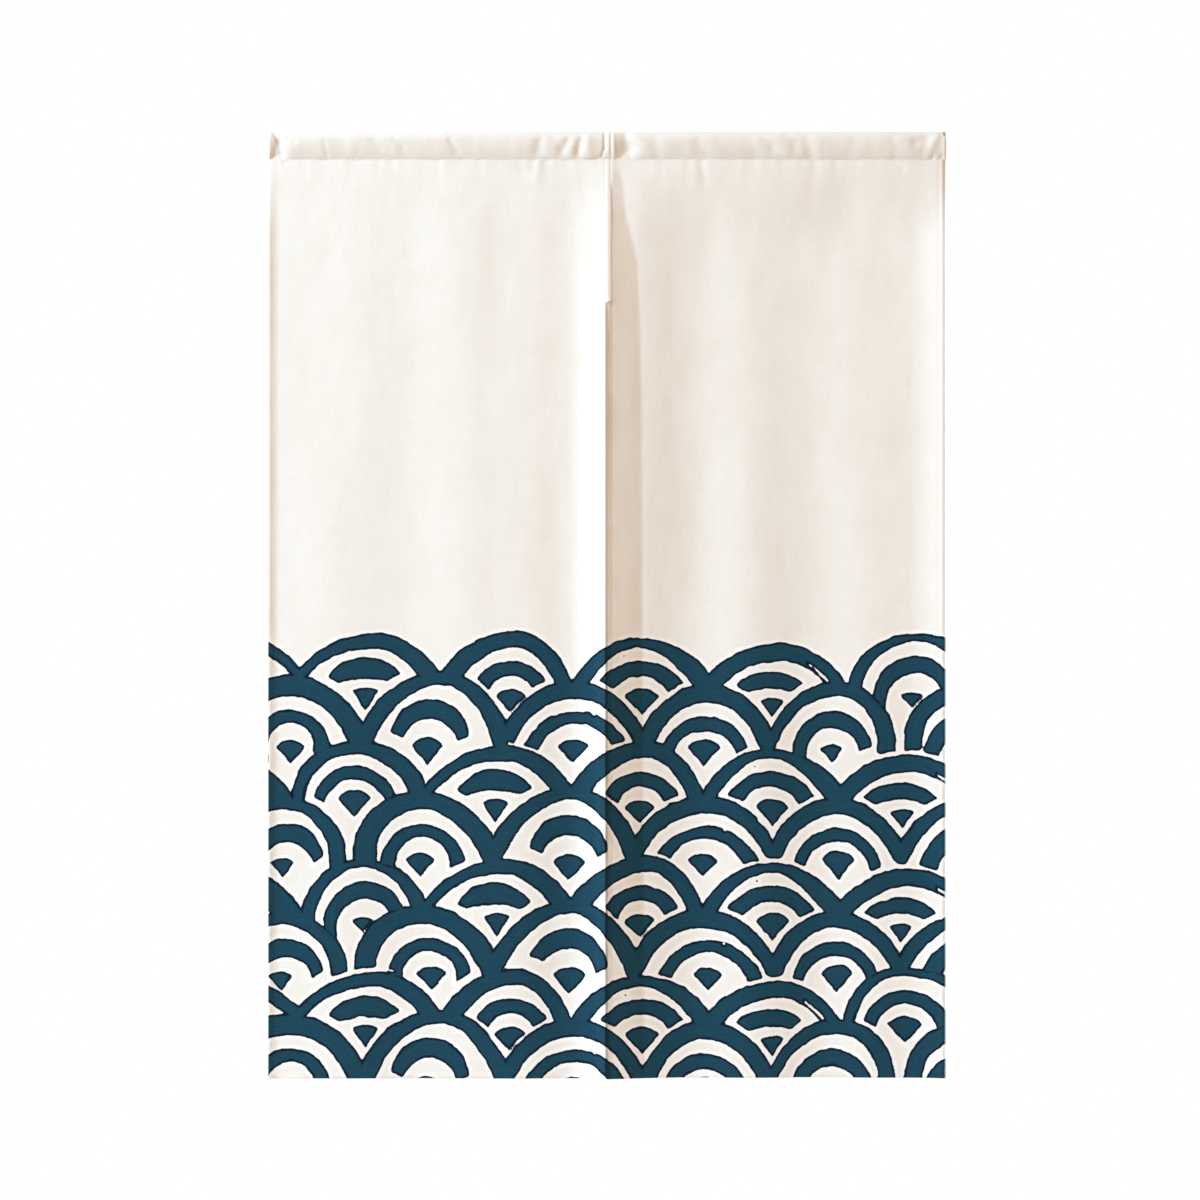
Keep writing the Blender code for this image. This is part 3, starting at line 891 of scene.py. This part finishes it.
def thread_mesh(starts, ends, outward):
    """Vertices and faces of one stitch from each start to each end."""
    along = ends - starts
    length = np.linalg.norm(along, axis=1, keepdims=True)
    along = along / length
    across = np.cross(along, outward)
    across /= np.linalg.norm(across, axis=1, keepdims=True)
    out = np.cross(across, along)
    middle = (starts + ends) / 2
    turns = np.linspace(0, 2 * math.pi, STITCH_SIDES, endpoint=False)
    rings = []
    for ring in STITCH_RINGS:
        centre = middle + along * (length * ring.place) + out * (THREAD * ring.lift)
        circle = np.cos(turns)[None, :, None] * across[:, None, :]
        circle = circle + np.sin(turns)[None, :, None] * out[:, None, :]
        rings.append(centre[:, None, :] + circle * THREAD * ring.thick)
    points = np.stack(rings, axis=1)
    count, high, around = points.shape[:3]
    index = np.arange(count * high * around).reshape(count, high, around)
    turned = np.roll(index, -1, axis=2)
    walls = np.stack([index[:, :-1], turned[:, :-1], turned[:, 1:], index[:, 1:]], -1)
    caps = [index[:, 0, ::-1], index[:, -1]]
    faces = walls.reshape(-1, 4).tolist() + [row.tolist() for cap in caps for row in cap]
    return points.reshape(-1, 3), faces


def stitch_line(side, place, start, end, down, front):
    """Starts, ends and outward directions of the stitches along one line of a panel."""
    count = int((end - start) / STITCH_PITCH)
    middles = start + (end - start) * (np.arange(count) + 0.5) / count
    runs = [middles - STITCH_LENGTH / 2, middles + STITCH_LENGTH / 2]
    points = []
    for run in runs:
        distance = np.full_like(run, place) if down else run
        drop = run if down else np.full_like(run, place)
        x, near, far, z = panel_layers(side, distance, drop)
        points.append(np.stack([x, near if front else far, z + 0.0 * x], -1))
    outward = np.tile([0.0, -1.0 if front else 1.0, 0.0], (count, 1))
    return points[0], points[1], outward


def add_stitching(word, side, material):
    # Each line: its distance or drop, where it starts and ends, and whether it runs down
    wide, foot = WIDTH / 2, DROP - HEM_STITCH
    lines = [
        (wide - HEM_STITCH, SLEEVE_HEIGHT + 0.002, DROP - 0.001, True),
        (HEM_STITCH, SLIT_START + 0.004, DROP - 0.001, True),
        (foot, 0.002, wide - 0.002, False),
        (SLEEVE_HEIGHT + 0.0009, 0.001, wide - 0.001, False),
        (SLIT_START - 0.0016, 0.0008, LAP_WIDTH, False),
    ]
    if side < 0:
        for place in (LAP_WIDTH, LAP_EDGE_STITCH):
            lines.append((place, SLEEVE_HEIGHT + 0.002, SLIT_START - 0.003, True))
    points, faces, used = [], [], 0
    for place, start, end, down in lines:
        for front in (True, False):
            found, made = thread_mesh(*stitch_line(side, place, start, end, down, front))
            points.append(found)
            faces += [[v + used for v in face] for face in made]
            used += len(found)
    points = np.concatenate(points)
    stitching = add_object(f"stitching_{word}", points, faces, material)
    set_values(stitching, "ink", print_fields(points[:, 0], -points[:, 2])[0])
    return stitching


class Nodes:
    """Short ways to add shader nodes to one tree."""

    def __init__(self, tree):
        self.tree = tree

    def add(self, kind, **settings):
        node = self.tree.nodes.new(kind)
        for name, value in settings.items():
            setattr(node, name, value)
        return node

    def put(self, socket, value):
        if isinstance(value, bpy.types.NodeSocket):
            self.tree.links.new(value, socket)
        else:
            socket.default_value = value

    def math(self, operation, *values):
        node = self.add("ShaderNodeMath", operation=operation)
        for socket, value in zip(node.inputs, values):
            self.put(socket, value)
        return node.outputs[0]

    def sum(self, *parts):
        """The sum of values, each times its share."""
        first, second = (self.math("MULTIPLY", value, share) for value, share in parts)
        return self.math("ADD", first, second)

    def ramp(self, value, low, high, start=0.0, end=1.0):
        """An S curve of a value: start below low, end above high."""
        node = self.add("ShaderNodeMapRange", interpolation_type="SMOOTHSTEP")
        names = ("Value", "From Min", "From Max", "To Min", "To Max")
        for name, given in zip(names, (value, low, high, start, end)):
            self.put(node.inputs[name], given)
        return node.outputs["Result"]

    def mix(self, share, first, second):
        node = self.add("ShaderNodeMix", data_type="RGBA", blend_type="MIX")
        for socket, value in ((0, share), (6, first), (7, second)):
            self.put(node.inputs[socket], value)
        return node.outputs[2]

    def noise(self, vector, scale, stretch=(1.0, 1.0, 1.0), detail=2.0, roughness=0.5):
        """Noise round 0.5 over a vector, in waves per unit along each axis."""
        mapping = self.add("ShaderNodeMapping", vector_type="POINT")
        self.put(mapping.inputs["Vector"], vector)
        mapping.inputs["Scale"].default_value = stretch
        node = self.add("ShaderNodeTexNoise", noise_dimensions="3D")
        self.put(node.inputs["Vector"], mapping.outputs[0])
        node.inputs["Scale"].default_value = scale
        node.inputs["Detail"].default_value = detail
        node.inputs["Roughness"].default_value = roughness
        return node.outputs["Fac"]

    def bump(self, height, strength, distance, normal=None):
        """A normal raised by a height, over another normal if one is given."""
        node = self.add("ShaderNodeBump")
        node.inputs["Strength"].default_value = strength
        node.inputs["Distance"].default_value = distance
        self.put(node.inputs["Height"], height)
        if normal is not None:
            self.put(node.inputs["Normal"], normal)
        return node.outputs[0]

    def place(self):
        return self.add("ShaderNodeTexCoord").outputs["Object"]

    def attribute(self, name):
        return self.add("ShaderNodeAttribute", attribute_name=name)

    def weave(self, place, pitch):
        """Height of a plain weave: at each crossing one yarn lies over the other."""
        split = self.add("ShaderNodeSeparateXYZ")
        self.put(split.inputs[0], place)
        across = self.math("MULTIPLY", split.outputs["X"], math.pi / pitch)
        down = self.math("MULTIPLY", split.outputs["Z"], math.pi / pitch)
        warp, weft = self.math("SINE", across), self.math("SINE", down)
        over = self.ramp(self.math("MULTIPLY", warp, weft), -0.12, 0.12)
        warp, weft = self.math("ABSOLUTE", warp), self.math("ABSOLUTE", weft)
        under = self.math("MULTIPLY", warp, self.math("SUBTRACT", 1.0, over))
        return self.math("ADD", under, self.math("MULTIPLY", weft, over))


def shader_of(name):
    material = bpy.data.materials.new(name)
    material.use_nodes = True
    return material, material.node_tree.nodes["Principled BSDF"], Nodes(material.node_tree)


CLOTH_WHITE = (0.905, 0.890, 0.850, 1.0)
CLOTH_SHADE = (0.858, 0.834, 0.780, 1.0)
CLOTH_CLEAN = (0.965, 0.960, 0.945, 1.0)
# The heading's two colours are the panel cloth's made darker and yellower: painted shade for the
# shade that the sleeve's rounded front lies in, on the same fabric.
HEADING_SHADED_WHITE = (0.880, 0.865, 0.822, 1.0)
HEADING_SHADED_DARK = (0.822, 0.798, 0.742, 1.0)
INK = (0.0064, 0.0500, 0.0840, 1.0)
INK_PALE = (0.0120, 0.0660, 0.1060, 1.0)
INK_EDGE = (0.0004, 0.0090, 0.0260, 1.0)
INK_THROUGH = (0.1000, 0.2200, 0.3000, 1.0)
THREAD_DARK = (0.83, 0.80, 0.75, 1.0)
THREAD_LIGHT = (0.90, 0.88, 0.84, 1.0)
FLOOR_DARK = (0.82, 0.81, 0.80, 1.0)
FLOOR_LIGHT = (0.86, 0.85, 0.84, 1.0)
WEAVE_PITCH = 0.00075
SHEEN = 0.05

# Where the print's looks change, in mm into the ink: its dark rim, the clean cloth round it, its
# edge, and the softer edge of what has soaked through
Zone = namedtuple("Zone", "low high")
RIM = Zone(low=2.1, high=3.8)
CLEAN = Zone(low=-5.2, high=-2.6)
INK_EDGE_ZONE = Zone(low=-0.30, high=0.30)
SOAKED = Zone(low=-2.4, high=2.0)
THREAD_ZONE = Zone(low=-0.8, high=0.8)


def cloth_shader(name, light, dark, printed):
    """Plain-woven cotton and linen: slubbed yarns, soft mottling, and the wave print if asked."""
    material, shader, n = shader_of(name)
    place = n.place()
    slub_down = n.noise(place, 1.0, (900.0, 900.0, 26.0), detail=3.0, roughness=0.6)
    slub_across = n.noise(place, 1.0, (22.0, 900.0, 900.0), detail=3.0, roughness=0.6)
    mottle = n.noise(place, 17.0, detail=4.0, roughness=0.62)
    yarn = n.sum((slub_down, 0.5), (slub_across, 0.5))
    tone = n.sum((yarn, 0.65), (mottle, 0.35))
    colour = n.mix(n.ramp(tone, 0.34, 0.66), dark, light)
    if printed:
        colour = printed_colour(n, place, colour, yarn)
    n.put(shader.inputs["Base Color"], colour)
    n.put(shader.inputs["Roughness"], n.ramp(mottle, 0.3, 0.7, start=0.86, end=0.95))
    shader.inputs["Specular IOR Level"].default_value = 0.12
    shader.inputs["Sheen Weight"].default_value = SHEEN
    shader.inputs["Sheen Roughness"].default_value = 0.55
    crumple = n.noise(place, 46.0, (1.0, 1.0, 0.6), detail=3.0)
    normal = n.bump(n.weave(place, WEAVE_PITCH), strength=0.35, distance=0.00010)
    normal = n.bump(yarn, strength=0.5, distance=0.00018, normal=normal)
    normal = n.bump(crumple, strength=0.55, distance=0.0009, normal=normal)
    n.put(shader.inputs["Normal"], normal)
    return material


def printed_colour(n, place, cloth, yarn):
    """The cloth with brushed ink over it, darker at its rim, and soaked through to the reverse."""
    stroke = n.attribute("stroke").outputs["Vector"]
    streaks = n.noise(stroke, 1.0, (0.045, 0.55, 0.0), roughness=0.6)
    ink = n.attribute("ink").outputs["Fac"]
    for scale, detail, amount in ((150.0, 2.0, 2.0), (620.0, 1.0, 0.9)):
        fray = n.math("SUBTRACT", n.noise(place, scale, detail=detail), 0.5)
        ink = n.math("ADD", ink, n.math("MULTIPLY", fray, amount))
    wash = n.sum((streaks, 0.6), (yarn, 0.4))
    body = n.mix(n.ramp(wash, 0.36, 0.66), INK, INK_PALE)
    inked = n.mix(n.ramp(ink, *RIM, start=0.98, end=0.0), body, INK_EDGE)
    clean = n.mix(n.ramp(ink, *CLEAN), cloth, CLOTH_CLEAN)
    front = n.mix(n.ramp(ink, *INK_EDGE_ZONE), clean, inked)
    through = n.ramp(wash, 0.30, 0.70, start=0.66, end=0.86)
    soaked = n.math("MULTIPLY", n.ramp(ink, *SOAKED), through)
    back = n.mix(soaked, cloth, INK_THROUGH)
    return n.mix(n.attribute("reverse").outputs["Fac"], front, back)


def thread_shader():
    """Cotton sewing thread with the twist of its plies, printed over with the cloth."""
    material, shader, n = shader_of("sewing_thread")
    place = n.place()
    tone = n.noise(place, 900.0, detail=1.0)
    thread = n.mix(tone, THREAD_DARK, THREAD_LIGHT)
    cover = n.ramp(n.attribute("ink").outputs["Fac"], *THREAD_ZONE, start=0.0, end=0.96)
    n.put(shader.inputs["Base Color"], n.mix(cover, thread, INK))
    n.put(shader.inputs["Roughness"], n.ramp(tone, 0.3, 0.7, start=0.60, end=0.75))
    shader.inputs["Sheen Weight"].default_value = SHEEN
    plies = n.noise(place, 1.0, (3200.0, 3200.0, 2600.0), detail=0.0)
    n.put(shader.inputs["Normal"], n.bump(plies, strength=0.5, distance=0.0001))
    return material


# The studio: the camera stands square on with a long lens, where the photograph's was. Two soft
# cool lights, one for each face of the cloth, and a warm fill give the cloth its warm shade.
CAMERA_AWAY = 6.0
FRAME_WIDTH = 1.5149
SENSOR = 36.0
FRAME_MIDDLE = (-0.0090, -0.5912)
Lamp = namedtuple("Lamp", "name place power")
LAMPS = (
    Lamp(name="key", place=(-4.6, -2.6, 2.0), power=474.0),
    Lamp(name="rear_key", place=(4.2, 3.4, 2.0), power=440.0),
)
LAMP_AIM = (0.0, 0.0, -0.6)
LAMP_SIZE = 1.6
LAMP_COLOUR = (0.575, 0.808, 1.0)
FILL_COLOUR = (1.0, 0.685, 0.435, 1.0)
FILL_STRENGTH = 0.62
FLOOR_DROP = 1.95
FLOOR_RADIUS = 1.4


def add_camera():
    data = bpy.data.cameras.new("camera")
    data.sensor_width = SENSOR
    data.lens = SENSOR * CAMERA_AWAY / FRAME_WIDTH
    data.clip_start, data.clip_end = 0.1, 50.0
    camera = bpy.data.objects.new("camera", data)
    camera.location = (FRAME_MIDDLE[0], -CAMERA_AWAY, FRAME_MIDDLE[1])
    camera.rotation_euler = (math.pi / 2, 0.0, 0.0)
    bpy.context.scene.collection.objects.link(camera)
    bpy.context.scene.camera = camera


def add_lamp(lamp):
    data = bpy.data.lights.new(lamp.name, "AREA")
    data.shape = "DISK"
    data.size = LAMP_SIZE
    data.energy = lamp.power
    data.color = LAMP_COLOUR
    light = bpy.data.objects.new(lamp.name, data)
    light.location = lamp.place
    aim = np.array(LAMP_AIM) - np.array(lamp.place)
    flat = math.hypot(aim[0], aim[1])
    light.rotation_euler = (math.atan2(flat, -aim[2]), 0.0, math.atan2(-aim[0], aim[1]))
    bpy.context.scene.collection.objects.link(light)


def add_world():
    """White where the camera sees it, and a warm, even fill for the cloth."""
    world = bpy.data.worlds.new("studio")
    bpy.context.scene.world = world
    world.use_nodes = True
    n = Nodes(world.node_tree)
    fill = world.node_tree.nodes["Background"]
    fill.inputs["Color"].default_value = FILL_COLOUR
    fill.inputs["Strength"].default_value = FILL_STRENGTH
    seen = n.add("ShaderNodeBackground")
    seen.inputs["Color"].default_value = (1.0, 1.0, 1.0, 1.0)
    seen.inputs["Strength"].default_value = 1.0
    chosen = n.add("ShaderNodeMixShader")
    n.put(chosen.inputs[0], n.add("ShaderNodeLightPath").outputs["Is Camera Ray"])
    n.put(chosen.inputs[1], fill.outputs[0])
    n.put(chosen.inputs[2], seen.outputs[0])
    n.put(world.node_tree.nodes["World Output"].inputs["Surface"], chosen.outputs[0])


def add_floor():
    """A pale round floor well below the curtain's foot, out of the camera's sight."""
    turns = np.linspace(0, 2 * math.pi, 96, endpoint=False)
    points = np.stack([np.cos(turns), np.sin(turns), 0 * turns], -1) * FLOOR_RADIUS
    points[:, 2] = -FLOOR_DROP
    material, shader, n = shader_of("floor")
    n.put(shader.inputs["Base Color"], n.mix(n.noise(n.place(), 3.0), FLOOR_DARK, FLOOR_LIGHT))
    shader.inputs["Roughness"].default_value = 0.8
    floor = add_object("floor", points, [list(range(len(points)))], material)


def dress():
    panel_cloth = cloth_shader("printed_cloth", CLOTH_WHITE, CLOTH_SHADE, True)
    # The heading is the same cloth as the panels, with painted shade darkening its colours.
    sleeve_cloth = cloth_shader("heading_cloth_painted_shade", HEADING_SHADED_WHITE, HEADING_SHADED_DARK, False)
    thread = thread_shader()
    for word, side in (("left", -1), ("right", 1)):
        sleeve = add_sleeve(word, side, sleeve_cloth)
        panel = add_panel(word, side, panel_cloth)
        stitching = add_stitching(word, side, thread)
        for piece in (sleeve, panel, stitching):
            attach(piece, "root")
        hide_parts(f"sleeve_{word}")
        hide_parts(f"panel_{word}")


dress()
add_camera()
add_world()
for lamp in LAMPS:
    add_lamp(lamp)
add_floor()
bpy.context.scene.view_settings.view_transform = "Standard"
bpy.context.scene.view_settings.look = "None"
